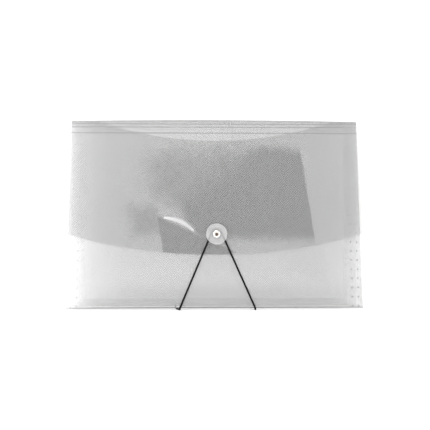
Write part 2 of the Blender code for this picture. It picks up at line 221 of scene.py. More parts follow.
def turned(name, profile, axis, material, steps=96):
    """A turned piece: (radius, height) points spun about an axis, given as its foot and direction."""
    origin, out = axis
    across = np.array((1.0, 0, 0))
    points = []
    faces = []
    rings = []
    for radius, height in profile:
        centre = origin + out * height
        if radius < 1e-7:
            rings.append([len(points)])
            points.append(centre)
            continue
        ring = []
        for k in range(steps):
            angle = 2 * math.pi * k / steps
            ring.append(len(points))
            points.append(centre + radius * (across * math.cos(angle) + UP_FRONT * math.sin(angle)))
        rings.append(ring)
    pairs = list(zip(rings, rings[1:]))
    if len(rings[0]) > 1 or len(rings[-1]) > 1:
        pairs.append((rings[-1], rings[0]))
    for low, high in pairs:
        for k in range(steps):
            n = (k + 1) % steps
            if len(low) == 1 and len(high) == 1:
                continue
            if len(low) == 1:
                faces.append((low[0], high[n], high[k]))
            elif len(high) == 1:
                faces.append((low[k], low[n], high[0]))
            else:
                faces.append((low[k], low[n], high[n], high[k]))
    return mesh_object(name, points, faces, material, sharp=35)


def rounded(points, radius, steps=4):
    """A polyline with each inner corner turned into a short arc."""
    points = [np.asarray(p, float) for p in points]
    out = [points[0]]
    for a, b, c in zip(points, points[1:], points[2:]):
        before = (a - b) / np.linalg.norm(a - b)
        after = (c - b) / np.linalg.norm(c - b)
        start = b + before * radius
        end = b + after * radius
        for i in range(steps + 1):
            t = i / steps
            out.append((1 - t) ** 2 * start + 2 * t * (1 - t) * b + t * t * end)
    out.append(points[-1])
    return out


# ---------------------------------------------------------------- shader helpers


class Graph:
    """A short way to write node graphs."""

    def __init__(self, name):
        self.material = bpy.data.materials.new(name)
        self.material.use_nodes = True
        self.nodes = self.material.node_tree.nodes
        self.links = self.material.node_tree.links
        self.shader = self.nodes["Principled BSDF"]
        self.output = self.nodes["Material Output"]
        self.place = self.add("ShaderNodeTexCoord").outputs["Object"]

    def add(self, kind, **settings):
        node = self.nodes.new(kind)
        for key, value in settings.items():
            setattr(node, key, value)
        return node

    def wire(self, value, socket):
        if isinstance(value, (int, float)):
            socket.default_value = value
        else:
            self.links.new(value, socket)

    def math(self, operation, a, b=0.0, clamp=False):
        node = self.add("ShaderNodeMath", operation=operation, use_clamp=clamp)
        self.wire(a, node.inputs[0])
        self.wire(b, node.inputs[1])
        return node.outputs[0]

    def dot(self, direction):
        node = self.add("ShaderNodeVectorMath", operation="DOT_PRODUCT")
        self.links.new(self.place, node.inputs[0])
        node.inputs[1].default_value = direction
        return node.outputs["Value"]

    def noise(self, scale, detail=2.0, rough=0.5):
        node = self.add("ShaderNodeTexNoise")
        self.links.new(self.place, node.inputs["Vector"])
        node.inputs["Scale"].default_value = scale
        node.inputs["Detail"].default_value = detail
        node.inputs["Roughness"].default_value = rough
        return node.outputs["Fac"]

    def ramp(self, value, low, high, to_low=0.0, to_high=1.0):
        node = self.add("ShaderNodeMapRange", interpolation_type="SMOOTHSTEP")
        self.wire(value, node.inputs["Value"])
        node.inputs["From Min"].default_value = low
        node.inputs["From Max"].default_value = high
        node.inputs["To Min"].default_value = to_low
        node.inputs["To Max"].default_value = to_high
        return node.outputs["Result"]

    def colour(self, fac, low, high):
        node = self.add("ShaderNodeMix", data_type="RGBA")
        self.wire(fac, node.inputs["Factor"])
        for socket in node.inputs:
            if socket.type == "RGBA":
                socket.default_value = (*(low if socket.name == "A" else high), 1)
        return next(s for s in node.outputs if s.type == "RGBA")

    def bump(self, height, distance, strength=1.0, normal=None):
        node = self.add("ShaderNodeBump")
        node.inputs["Strength"].default_value = strength
        node.inputs["Distance"].default_value = distance
        self.wire(height, node.inputs["Height"])
        if normal is not None:
            self.links.new(normal, node.inputs["Normal"])
        return node.outputs["Normal"]

    def scaled(self, total, part, size):
        """total + part * size"""
        return self.math("ADD", total, self.math("MULTIPLY", part, size))

    def darker(self, bright, mask, size):
        """bright * (1 - mask * size)"""
        kept = self.math("SUBTRACT", 1.0, self.math("MULTIPLY", mask, size))
        return self.math("MULTIPLY", bright, kept)

    def translucent(self, bright, held, tint):
        """A grey surface that holds back a share of the light and lets the rest straight through."""
        combine = self.add("ShaderNodeCombineColor")
        for channel in ("Red", "Green", "Blue"):
            self.wire(bright, combine.inputs[channel])
        self.links.new(combine.outputs[0], self.shader.inputs["Base Color"])
        clear = self.add("ShaderNodeBsdfTransparent")
        clear.inputs["Color"].default_value = (tint, tint, tint, 1)
        mix = self.add("ShaderNodeMixShader")
        self.wire(held, mix.inputs["Fac"])
        self.links.new(clear.outputs[0], mix.inputs[1])
        self.links.new(self.shader.outputs[0], mix.inputs[2])
        self.links.new(mix.outputs[0], self.output.inputs["Surface"])


RIB_PITCH = 0.0027
RIB_TURN = 2 * math.pi / RIB_PITCH
R2 = math.sqrt(0.5)


def patch(g, lines, grain_size, cloud_size):
    """A soft mask inside several lines, each a point, a normal and a softness, with a broken edge."""
    hatch = g.math(
        "ADD",
        g.math("SINE", g.dot((RIB_TURN * R2, 0.0, -RIB_TURN * R2))),
        g.math("SINE", g.dot((RIB_TURN * R2, 0.0, RIB_TURN * R2))),
    )
    grain = g.math("SUBTRACT", g.noise(420.0, 3.0, 0.6), 0.5)
    grain = g.scaled(grain, hatch, 0.22)
    cloud = g.math("SUBTRACT", g.noise(38.0, 3.0, 0.55), 0.5)
    result = None
    for (x, z), (nx, nz), soft in lines:
        distance = g.math("SUBTRACT", g.dot((nx, 0.0, nz)), x * nx + z * nz)
        distance = g.scaled(distance, grain, grain_size * soft)
        distance = g.scaled(distance, cloud, cloud_size * soft)
        part = g.ramp(distance, -soft, soft)
        result = part if result is None else g.math("MULTIPLY", result, part)
    return result


def painted_shade_patches(g):
    """Painted shade: darker patches on the flap, where it lies on the front panel."""
    right = patch(
        g,
        (
            ((0.1440, 0.19), (-0.990, -0.139), 0.0012),
            ((0.10, 0.2530), (-0.10, -0.995), 0.009),
            ((0.10, 0.1090), (0.0, 1.0), 0.008),
            ((0.010, 0.2230), (0.60, -0.80), 0.020),
            ((-0.0340, 0.1230), (0.84, 0.54), 0.006),
        ),
        2.2,
        1.5,
    )
    upper = patch(
        g,
        (
            ((-0.100, 0.215), (1.0, 0.10), 0.018),
            ((-0.04, 0.244), (0.12, -0.99), 0.016),
            ((-0.05, 0.150), (0.50, 0.87), 0.012),
            ((0.040, 0.20), (-0.90, 0.30), 0.020),
        ),
        3.0,
        2.2,
    )
    lower = patch(
        g,
        (
            ((-0.0855, 0.118), (0.985, 0.17), 0.0009),
            ((-0.03, 0.0855), (0.02, 1.0), 0.0010),
            ((-0.052, 0.1274), (-0.42, -0.91), 0.002),
            ((0.030, 0.10), (-0.90, 0.20), 0.004),
        ),
        1.5,
        1.0,
    )
    left = patch(
        g,
        (
            ((-0.130, 0.135), (1.0, 0.15), 0.010),
            ((-0.10, 0.158), (-0.10, -1.0), 0.009),
            ((-0.10, 0.116), (0.0, 1.0), 0.009),
            ((-0.084, 0.13), (-1.0, -0.30), 0.006),
        ),
        3.0,
        1.5,
    )
    strong = g.math("MAXIMUM", right, lower)
    weak = g.math("MAXIMUM", upper, left)
    return g.math("MAXIMUM", strong, g.math("MULTIPLY", weak, 0.72))


# Painted highlight on the flap's buckle: where its streak starts, its way and its length.
HIGHLIGHT_START = (-0.0815, 0.1425)
HIGHLIGHT_ALONG = (0.915, -0.403)
HIGHLIGHT_LENGTH = 0.0546


def painted_buckle_highlight(g):
    """Painted highlight: a pale streak on the crest of the flap's buckle."""
    (x0, z0), (ax, az) = HIGHLIGHT_START, HIGHLIGHT_ALONG
    t = g.math("SUBTRACT", g.dot((ax, 0.0, az)), x0 * ax + z0 * az)
    s = g.math("SUBTRACT", g.dot((-az, 0.0, ax)), z0 * ax - x0 * az)
    arch = g.math("SINE", g.math("MULTIPLY", t, math.pi / HIGHLIGHT_LENGTH))
    s = g.math("SUBTRACT", s, g.math("MULTIPLY", arch, 0.0052))
    wide = g.math("ADD", g.math("MULTIPLY", arch, 0.0020), 0.0020)
    band = g.ramp(g.math("DIVIDE", g.math("ABSOLUTE", s), wide), 0.45, 1.25, 1.0, 0.0)
    last = g.ramp(t, HIGHLIGHT_LENGTH - 0.003, HIGHLIGHT_LENGTH, 1.0, 0.0)
    return g.math("MULTIPLY", band, g.math("MULTIPLY", g.ramp(t, 0.0, 0.003), last))


# Painted light: how much brighter the flap and the front panel are painted towards each side.
FLAP_SIDE_LIGHT = ((1.0, ((0.22, 0.022),)), (-1.0, ((0.10, 0.022),)))
FRONT_SIDE_LIGHT = ((1.0, ((0.62, 0.030), (0.07, 0.12))), (-1.0, ((0.16, 0.040),)))
# Painted shade: heights over which the front panel's lower edge is painted darker.
LIP_SHADE_LOW, LIP_SHADE_HIGH = 0.0040, 0.0056
WELD_CORE, WELD_RIM = 0.0007, 0.0017
# Painted shade: the scores' heights, and the core and rim of their darker lines.
SCORE_HEIGHTS = (0.2913, 0.2861, 0.2765)
SCORE_CORE, SCORE_RIM = 0.0004, 0.0014


def painted_side_light(g, bright, across, sides):
    """Painted light: the sheet is painted brighter towards its sides, where the side light falls; per
    side a sign and the size and reach of each fade.
    """
    for sign, fades in sides:
        inward = g.math("ADD", g.math("MULTIPLY", across, sign), WIDTH / 2)
        for size, reach in fades:
            fade = g.math("POWER", math.e, g.math("MULTIPLY", inward, -1 / reach))
            bright = g.scaled(bright, fade, size)
    return bright


def inner_shape(g):
    """The faint darker shape at the front panel's lower right."""
    return patch(
        g,
        (
            ((0.1755, 0.066), (-0.985, 0.17), 0.0012),
            ((0.1755, 0.066), (-0.98, -0.22), 0.0012),
            ((0.1500, 0.049), (0.36, 0.93), 0.0016),
            ((0.1080, 0.070), (1.0, 0.1), 0.022),
        ),
        0.6,
        0.4,
    )


def weld_spots(g, bright, held, across, height):
    """Each spot weld is a small darker and denser dot."""
    dz = g.math("SUBTRACT", height, WELD_FIRST)
    row = g.math("ROUND", g.math("DIVIDE", dz, WELD_PITCH))
    dz = g.math("SUBTRACT", dz, g.math("MULTIPLY", row, WELD_PITCH))
    side = g.math("ABSOLUTE", across)
    for inset in WELD_INSETS:
        dx = g.math("SUBTRACT", side, WIDTH / 2 - inset)
        squares = g.math("ADD", g.math("MULTIPLY", dx, dx), g.math("MULTIPLY", dz, dz))
        away = g.math("SQRT", squares)
        held = g.math("ADD", held, g.ramp(away, WELD_CORE, WELD_RIM, 0.30, 0.0))
        bright = g.math("MULTIPLY", bright, g.ramp(away, WELD_CORE, WELD_RIM, 0.50, 1.0))
    return bright, held


def painted_score_shade(g, bright, held, height):
    """Painted shade: the pressed scores are painted as darker lines, and the sheet is denser up to the
    top fold.
    """
    for place in SCORE_HEIGHTS:
        away = g.math("ABSOLUTE", g.math("SUBTRACT", height, place))
        held = g.math("ADD", held, g.ramp(away, SCORE_CORE, SCORE_RIM, 0.30, 0.0))
        bright = g.math("MULTIPLY", bright, g.ramp(away, SCORE_CORE, SCORE_RIM, 0.72, 1.0))
    held = g.math("ADD", held, g.ramp(height, 0.2855, 0.2935, 0.0, 0.06))
    held = g.math("ADD", held, g.ramp(height, 0.2930, 0.2962, 0.0, 0.30))
    return bright, held


def polypropylene(
    name, rib, tone=0.335, cover=0.285, ribs=1.0, flap=False, front=False, welds=False
):
    """Frosted clear sheet: cover is the share of light one face holds back, rib the ribs' way."""
    g = Graph(name)
    wave = g.math("SINE", g.dot(tuple(RIB_TURN * v for v in rib)))
    frost = g.noise(1500.0, 2.0, 0.6)
    cloud = g.noise(9.0, 2.0, 0.5)
    held = g.scaled(cover, wave, 0.055 * ribs)
    held = g.scaled(held, g.math("SUBTRACT", frost, 0.5), 0.06)
    held = g.scaled(held, g.math("SUBTRACT", cloud, 0.5), 0.04)
    bright = g.ramp(cloud, 0.3, 0.7, tone * 0.97, tone * 1.03)
    across = g.dot((1.0, 0.0, 0.0))
    height = g.dot((0.0, 0.0, 1.0))
    if front:
        # Painted light: the front panel is painted brighter towards its sides.
        bright = painted_side_light(g, bright, across, FRONT_SIDE_LIGHT)
        bright = g.darker(bright, inner_shape(g), 0.10)
        # Painted shade: darker and denser along the turned lower edge, for the shaded gap under it.
        bright = g.math("MULTIPLY", bright, g.ramp(height, LIP_SHADE_LOW, LIP_SHADE_HIGH, 0.30, 1.0))
        held = g.math("ADD", held, g.ramp(height, LIP_SHADE_LOW, LIP_SHADE_HIGH, 0.45, 0.0))
    if welds:
        bright, held = weld_spots(g, bright, held, across, height)
    if flap:
        # Painted light: the flap is painted brighter towards its sides.
        bright = painted_side_light(g, bright, across, FLAP_SIDE_LIGHT)
        # Painted shade: darker lines at the scores.
        bright, held = painted_score_shade(g, bright, held, height)
        # Painted shade: the flap is painted darker and denser in patches that follow the ribs.
        shaded_patches = g.math("MULTIPLY", painted_shade_patches(g), g.ramp(wave, -1.0, 1.0, 0.80, 1.20))
        bright = g.darker(bright, shaded_patches, 0.50)
        held = g.scaled(held, shaded_patches, 0.11)
        # Painted highlight: a pale, denser streak along the buckle's crest.
        crest = painted_buckle_highlight(g)
        bright = g.scaled(bright, crest, 0.34)
        held = g.scaled(held, crest, 0.20)
    g.wire(g.ramp(g.noise(60.0, 3.0), 0.3, 0.7, 0.30, 0.40), g.shader.inputs["Roughness"])
    g.shader.inputs["IOR"].default_value = 1.49
    normal = g.bump(g.math("MULTIPLY", wave, ribs), 0.00005, 0.8)
    normal = g.bump(frost, 0.00003, 0.6, normal)
    g.links.new(normal, g.shader.inputs["Normal"])
    g.translucent(bright, g.math("MAXIMUM", held, 0.02, True), 0.985)
    return g.material


def frosted_disc(name, tone, cover):
    """The button's plastic: smoother and milkier than the sheet."""
    g = Graph(name)
    frost = g.noise(900.0, 2.0, 0.6)
    swirl = g.noise(120.0, 3.0, 0.6)
    g.wire(g.ramp(swirl, 0.2, 0.8, 0.30, 0.42), g.shader.inputs["Roughness"])
    g.links.new(g.bump(frost, 0.00003, 0.6), g.shader.inputs["Normal"])
    bright = g.ramp(swirl, 0.3, 0.7, tone * 0.95, tone * 1.05)
    g.translucent(bright, g.scaled(cover, g.math("SUBTRACT", frost, 0.5), 0.08), 1.0)
    return g.material


def metal(name, colour, dark, roughness):
    """Plain metal, darker and rougher in its worn places."""
    g = Graph(name)
    wear = g.noise(260.0, 4.0, 0.6)
    g.links.new(g.colour(g.ramp(wear, 0.35, 0.7), dark, colour), g.shader.inputs["Base Color"])
    g.shader.inputs["Metallic"].default_value = 1.0
    g.wire(g.ramp(wear, 0.3, 0.7, roughness * 1.5, roughness), g.shader.inputs["Roughness"])
    g.links.new(g.bump(g.noise(2400.0, 3.0), 0.00001, 0.5), g.shader.inputs["Normal"])
    return g.material


def rubber(name, colour, lighter, roughness, scale):
    """Matt black elastic or moulded plastic."""
    g = Graph(name)
    fibre = g.noise(scale, 4.0, 0.7)
    g.links.new(g.colour(g.ramp(fibre, 0.35, 0.75), colour, lighter), g.shader.inputs["Base Color"])
    g.wire(g.ramp(fibre, 0.3, 0.7, roughness * 0.85, roughness), g.shader.inputs["Roughness"])
    g.links.new(g.bump(fibre, 0.00008, 0.7), g.shader.inputs["Normal"])
    g.shader.inputs["Specular IOR Level"].default_value = 0.12
    return g.material


pp_front = polypropylene("pp_front_panel", (R2, 0.0, -R2), front=True, welds=True)
pp_flap = polypropylene("pp_flap", (R2, 0.0, -R2), flap=True)
pp_back = polypropylene("pp_back_panel", (R2, 0.0, R2), welds=True)
# Painted shade: the top strip is painted darker and denser, for the dark line along the top fold.
pp_top = polypropylene("pp_top_strip", (R2, R2, 0.0), tone=0.26, cover=0.38)
pp_bottom = polypropylene("pp_bottom", (R2, R2, 0.0), cover=0.04, tone=0.5)
# Painted light: the gussets are painted near white, partly for their welded double layers and partly for
# the side light that falls on them.
pp_gusset_painted_light = polypropylene("pp_gusset_painted_light", (0.2, R2, R2), tone=0.95, cover=0.22, ribs=0.4)
disc_finish = frosted_disc("frosted_disc", 0.60, 0.32)
post_finish = frosted_disc("frosted_post", 0.56, 0.70)
rivet_finish = metal("bright_rivet", (0.92, 0.91, 0.89), (0.78, 0.76, 0.73), 0.16)
washer_finish = metal("washer_steel", (0.70, 0.69, 0.67), (0.50, 0.49, 0.47), 0.30)
# Painted shade: the dark brown metal inside the rivet's hollow.
recess_painted_shade = metal("brown_recess_painted_shade", (0.20, 0.14, 0.10), (0.08, 0.05, 0.035), 0.45)
cord_finish = rubber("black_elastic", (0.0015, 0.0015, 0.0016), (0.006, 0.006, 0.0065), 0.92, 3000.0)
barb_finish = rubber("black_barb", (0.008, 0.008, 0.009), (0.020, 0.020, 0.022), 0.38, 700.0)

# ---------------------------------------------------------------- the sheet
MID_BACK_Y = BACK_Y - SHEET / 2
TOP_Z = HEIGHT - SHEET / 2
FLAP_MID = FLAP_STANDOFF + SHEET / 2
CORNER = np.array((0.0, front_face_y(TOP_Z) - FLAP_MID / math.cos(LEAN), TOP_Z))
HALF_STRIP_Y = (MID_BACK_Y + CORNER[1]) / 2
FOLD_RADIUS = 0.0007
WELD_ROWS = [WELD_FIRST + WELD_PITCH * i for i in range(19)]
WELD_DEPTH = 0.00022
WELD_SPREAD = 0.00065
ROW_STEP = 0.0060
FINE_STEP = 0.0002
BACK_SEAM = 0.0006  # from the bottom's folds to where panel and strip meet
FRONT_SEAM = -0.0004
FOLD_REACH = 0.0010  # how far each side of a fold the rows are set close together
STRIP_REACH = 0.0008
BOTTOM_BEND = 0.0006
TOP_BOW = 0.0022  # the top fold stands this much higher in its middle than at its ends


def bow_up(points):
    """The case's top edge is a little higher in its middle; everything below follows in proportion."""
    share = 1 - (points[..., 0] / (WIDTH / 2)) ** 2
    points[..., 2] += (share - 0.55) * TOP_BOW * points[..., 2] / HEIGHT
    return points


def weld_dimples(x, z):
    """How deep the spot welds press the panel in at a point."""
    depth = np.zeros(np.broadcast(x, z).shape)
    for inset in WELD_INSETS:
        for place in WELD_ROWS:
            r2 = (np.abs(x) - (WIDTH / 2 - inset)) ** 2 + (z - place) ** 2
            depth = depth + np.exp(-r2 / (2 * WELD_SPREAD**2))
    return depth * WELD_DEPTH


def ripple(x, z, size, seed):
    """The slow unevenness of a thin sheet."""
    return size * (
        np.sin(11.0 * x + 7.0 * z + seed) * 0.5
        + np.sin(23.0 * x - 17.0 * z + 2.1 * seed) * 0.3
        + np.sin(5.0 * x + 29.0 * z + 0.7 * seed) * 0.2
    )


weld_x = [s * (WIDTH / 2 - inset) for s in (-1, 1) for inset in WELD_INSETS]
panel_x = refined(-WIDTH / 2, WIDTH / 2, ROW_STEP, weld_x)


def section_grid(xs, section, halves=None):
    """The section's (y, z) points run across the case; halves rescales the width at each point."""
    section = np.asarray(section, float)
    grid = np.zeros((len(section), len(xs), 3))
    grid[..., 0] = xs[None, :]
    if halves is not None:
        grid[..., 0] *= (np.asarray(halves) / (WIDTH / 2))[:, None]
    grid[..., 1] = section[:, 0][:, None]
    grid[..., 2] = section[:, 1][:, None]
    return grid


def make_back():
    """The back panel with its turned lower edge and the first half of the top strip."""
    corners = [
        (BACK_FOLD[1] + BACK_SEAM, SHEET / 2),
        (MID_BACK_Y, SHEET / 2),
        (MID_BACK_Y, TOP_Z),
        (HALF_STRIP_Y, TOP_Z),
    ]
    bends = rounded(corners, FOLD_RADIUS)
    low = [p for p in bends if p[1] < 0.01]
    high = [p for p in bends if p[1] > 0.01]
    rows = refined(low[-1][1], high[0][1], ROW_STEP, WELD_ROWS)[1:-1]
    section = low + [np.array((MID_BACK_Y, z)) for z in rows] + high
    halves = [WIDTH / 2 if p[1] < 0.2955 else SPINE_WIDTH / 2 for p in section]
    grid = section_grid(panel_x, section, halves)
    x, z = grid[..., 0], grid[..., 2]
    dent = weld_dimples(x, z) + ripple(x, z, 0.0002, 1.0)
    inside = (z > 0.004) & (z < 0.292)
    fade = np.clip(np.minimum(z, 0.29 - z) / 0.02, 0, 1)
    grid[..., 1] -= np.where(inside, dent * fade, 0)
    piece = sheet_from_grid("back_sheet", bow_up(grid), (0, 1, 0), pp_back)
    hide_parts("back_panel")
    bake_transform(piece)


def scoop_top(x):
    """Height of the front panel's top edge."""
    radius = (SCOOP_HALF_WIDTH**2 + SCOOP_DEPTH**2) / (2 * SCOOP_DEPTH)
    inside = np.abs(x) < SCOOP_HALF_WIDTH
    arc = FRONT_TOP - SCOOP_DEPTH + radius - np.sqrt(np.maximum(radius**2 - x**2, 0))
    return np.where(inside, arc, FRONT_TOP)


def make_front():
    """The leaning front panel with its scooped top and turned lower edge."""
    inset = SHEET / 2 / math.cos(LEAN)
    low_z = EDGE_LIFT + SHEET / 2
    corner = (front_face_y(low_z) + inset, low_z)
    top = (front_face_y(FRONT_TOP) + inset, FRONT_TOP)
    bends = rounded([(FRONT_FOLD[1] + FRONT_SEAM, low_z), corner, top], FOLD_RADIUS)[:-1]
    start_z = bends[-1][1]
    crease_z = start_z + 0.0022
    rows = refined(start_z, FRONT_TOP, ROW_STEP, WELD_ROWS + [crease_z])[1:]
    grid = np.zeros((len(bends) + len(rows), len(panel_x), 3))
    grid[..., 0] = panel_x[None, :]
    for i, (y, z) in enumerate(bends):
        grid[i, :, 1] = y
        grid[i, :, 2] = z
    share = (rows - start_z) / (FRONT_TOP - start_z)
    straight = 0.80  # below this share the rows are level; above it they gather under the scoop
    knee = start_z + straight * (FRONT_TOP - start_z)
    for j, x in enumerate(panel_x):
        top_z = float(scoop_top(x))
        z = np.where(
            share < straight,
            rows,
            knee + (share - straight) / (1 - straight) * (top_z - knee),
        )
        grid[len(bends):, j, 2] = z
        grid[len(bends):, j, 1] = front_face_y(0) + z * math.tan(LEAN) + inset
    z = grid[..., 2]
    x = grid[..., 0]
    fade = np.clip((z - 0.010) / 0.02, 0, 1)
    push = weld_dimples(x, z) * np.clip((z - 0.012) / 0.004, 0, 1)
    push += ripple(x, z, 0.0002, 2.0) * fade
    crease = np.exp(-(((z - crease_z) / 0.0004) ** 2)) * 0.00012
    grid[len(bends):, :, 1] += (push + crease)[len(bends):]
    piece = sheet_from_grid("front_sheet", bow_up(grid), OUT_FRONT, pp_front)
    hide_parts("front_panel")
    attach(piece, "front")


def flap_half(down):
    """Half the flap's width at a distance down its slope."""
    to_corner = (TOP_Z - FLAP_CORNER_Z) / math.cos(LEAN)
    return (SPINE_WIDTH + (FLAP_CORNER_WIDTH - SPINE_WIDTH) * down / to_corner) / 2


def make_top():
    """The rest of the top strip and the scored strips, joined in the middle of each."""
    middles = [SCORES[0] / 2] + [(a + b) / 2 for a, b in zip(SCORES, SCORES[1:])]
    down = -UP_FRONT
    end = CORNER + down * middles[0]
    corners = [(HALF_STRIP_Y, TOP_Z), (CORNER[1], TOP_Z), (end[1], end[2])]
    section = rounded(corners, FOLD_RADIUS)
    halves = [SPINE_WIDTH / 2] * (len(section) - 1) + [flap_half(middles[0])]
    grid = section_grid(panel_x, section, halves)
    piece = sheet_from_grid("top_strip", bow_up(grid), (0, -0.5, 1), pp_top)
    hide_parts("spine_strip_1", "spine_strip_2")
    start = (0, CORNER[1] + FOLD_REACH, TOP_Z)
    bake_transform(piece)
    for n, score, start, stop in zip((2, 3), SCORES, middles, middles[1:]):
        rows = refined(start, stop, 0.0012, (score,), STRIP_REACH, FINE_STEP)
        grid = flap_points(panel_x / (WIDTH / 2), rows[:, None] * np.ones((1, len(panel_x))))
        piece = sheet_from_grid(f"score_strip_{n}", bow_up(grid), OUT_FRONT, pp_flap)
        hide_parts(f"spine_strip_{n + 1}")
        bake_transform(piece)


BUCKLE_START = np.array((-0.0790, 0.1520))
BUCKLE_END = np.array((-0.0260, 0.1190))
BUCKLE_RISE = 0.0046
BUCKLE_WIDTH = 0.0062
BUCKLE_ARCH = 0.0035
FLAP_BOW = 0.0008
SCORE_DEPTH = 0.00014


def flap_relief(x, z, down):
    """How far the flap stands off its plane: a slow bow, and the buckle beside the button."""
    lower = TOP_Z - FLAP_CORNER_Z
    bow = FLAP_BOW * np.sin(np.clip((down - SCORES[2]) / lower, 0, 1) * math.pi)
    bow = bow + ripple(x, z, 0.00025, 3.0) * np.clip((down - SCORES[2]) / 0.03, 0, 1)
    length = float(np.linalg.norm(BUCKLE_END - BUCKLE_START))
    along = (BUCKLE_END - BUCKLE_START) / length
    dx = x - BUCKLE_START[0]
    dz = z - BUCKLE_START[1]
    t = dx * along[0] + dz * along[1]
    s = -dx * along[1] + dz * along[0]
    curve = BUCKLE_ARCH * np.sin(np.clip(t / length, 0, 1) * math.pi)
    ridge = np.exp(-(((s - curve) / BUCKLE_WIDTH) ** 2))
    rise = 1 + np.exp(-(t - 0.12 * length) / 0.004)
    fall = 1 + np.exp((t - 0.95 * length) / 0.003)
    ends = 1 / rise / fall
    scores = 0.0
    for score in SCORES:
        scores = scores - SCORE_DEPTH * np.exp(-(((down - score) / 0.00045) ** 2))
    return bow + BUCKLE_RISE * ridge * ends + scores


def flap_points(shares, down):
    """Points of the flap's middle surface: a share of its half-width, and a distance down its slope."""
    half = flap_half(down)
    x = shares[None, :] * half
    z = TOP_Z - down * math.cos(LEAN)
    grid = np.zeros((*down.shape, 3))
    relief = flap_relief(x, z, down)
    grid[..., 0] = x
    grid[..., 1] = CORNER[1] - down * math.sin(LEAN) + OUT_FRONT[1] * relief
    grid[..., 2] = z + OUT_FRONT[2] * relief
    return grid


def make_flap():
    """The flap below the last score, with its curved lower edge and rounded corners."""
    to_corner = (TOP_Z - FLAP_CORNER_Z) / math.cos(LEAN)
    to_middle = (TOP_Z - FLAP_MIDDLE_Z) / math.cos(LEAN)
    half = FLAP_CORNER_WIDTH / 2
    sag = to_middle - to_corner
    radius = (half**2 + sag**2) / (2 * sag)
    side = half - FLAP_CORNER_RADIUS

    def edge(x):
        return to_middle - radius + math.sqrt(radius**2 - x * x)

    corner_down = edge(side) - FLAP_CORNER_RADIUS * 0.992
    start = (SCORES[1] + SCORES[2]) / 2
    even = 0.963  # of the half-width; the columns gather beyond it, at the rounded corners
    quarter = np.linspace(0, math.pi / 2, 14)
    shares = np.concatenate(
        (
            -even - (1 - even) * np.cos(quarter)[:-1],
            np.linspace(-even, even, 180),
            even + (1 - even) * np.sin(quarter)[1:],
        )
    )
    rows = refined(start, to_middle, 0.0024, (SCORES[2],), FOLD_REACH, 0.00025)
    share_down = (rows - start) / (to_middle - start)
    level = 0.30  # below this share the rows are level; past it they turn into the curved edge
    knee = start + level * (to_middle - start)
    down = np.zeros((len(rows), len(shares)))
    for j, share in enumerate(shares):
        x = abs(share) * half
        if x <= side:
            reach = edge(x)
        else:
            reach = corner_down + math.sqrt(max(FLAP_CORNER_RADIUS**2 - (x - side) ** 2, 0))
        down[:, j] = np.where(
            share_down < level,
            rows,
            knee + (share_down - level) / (1 - level) * (reach - knee),
        )
    grid = flap_points(shares, down)
    piece = sheet_from_grid("flap_sheet", bow_up(grid), OUT_FRONT, pp_flap)
    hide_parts("flap_panel")
    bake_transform(piece)


def make_bottom():
    """The bottom's two strips, each joined to the turned edge of its panel and meeting at the middle."""
    span = BACK_FOLD - FRONT_FOLD
    length = float(np.linalg.norm(span)) / 2 / math.cos(BOTTOM_ANGLE)
    rise = math.atan2(FRONT_FOLD[2] - BACK_FOLD[2], abs(span[1]))
    side = WIDTH / 2 - 0.001
    for panel, fold, seam, heading, angle in (
        ("back", BACK_FOLD, BACK_SEAM, -1, BOTTOM_ANGLE + rise),
        ("front", FRONT_FOLD, FRONT_SEAM, 1, BOTTOM_ANGLE - rise),
    ):
        body = f"bottom_{panel}"
        way = np.array((0.0, heading * math.cos(angle), math.sin(angle)))
        distances = list(np.linspace(BOTTOM_BEND, length - FINE_STEP, 12))
        section = [(fold[1] + seam, fold[2]), (fold[1] + seam * 0.4, fold[2])]
        section += [tuple((fold + way * d)[1:]) for d in distances]
        halves = [side - 0.0004] * 3 + [side - d for d in distances[1:]]
        grid = section_grid(panel_x, section, halves)
        piece = sheet_from_grid(f"{body}_sheet", bow_up(grid), (0, 0, -1), pp_bottom)
        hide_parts(f"bottom_strip_{panel}")
        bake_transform(piece)


FLANGE_INSET = SHEET * 1.5 + GAP  # from a panel's outer face to the flange's middle
FLANGE_LOW = 0.0022
FLANGE_SIDE = WIDTH / 2 - 0.0010
LEAF_BASE = FRONT_FOLD[2] + 0.0045
LEAF_TOP_DROP = 0.004
LEAF_SHARE = 0.985  # the leaves stop just short of the pleat's line, so they never cross
GUSSET_ROWS = 60
FOLD_X = WIDTH / 2 - SHEET / 2
HALF_GAP = (BACK_FOLD[1] - FRONT_FOLD[1]) / 2
PLEAT_X = FOLD_X - HALF_GAP / math.tan(LEAF_ANGLE)
PLEAT_Y = BACK_FOLD[1] - HALF_GAP


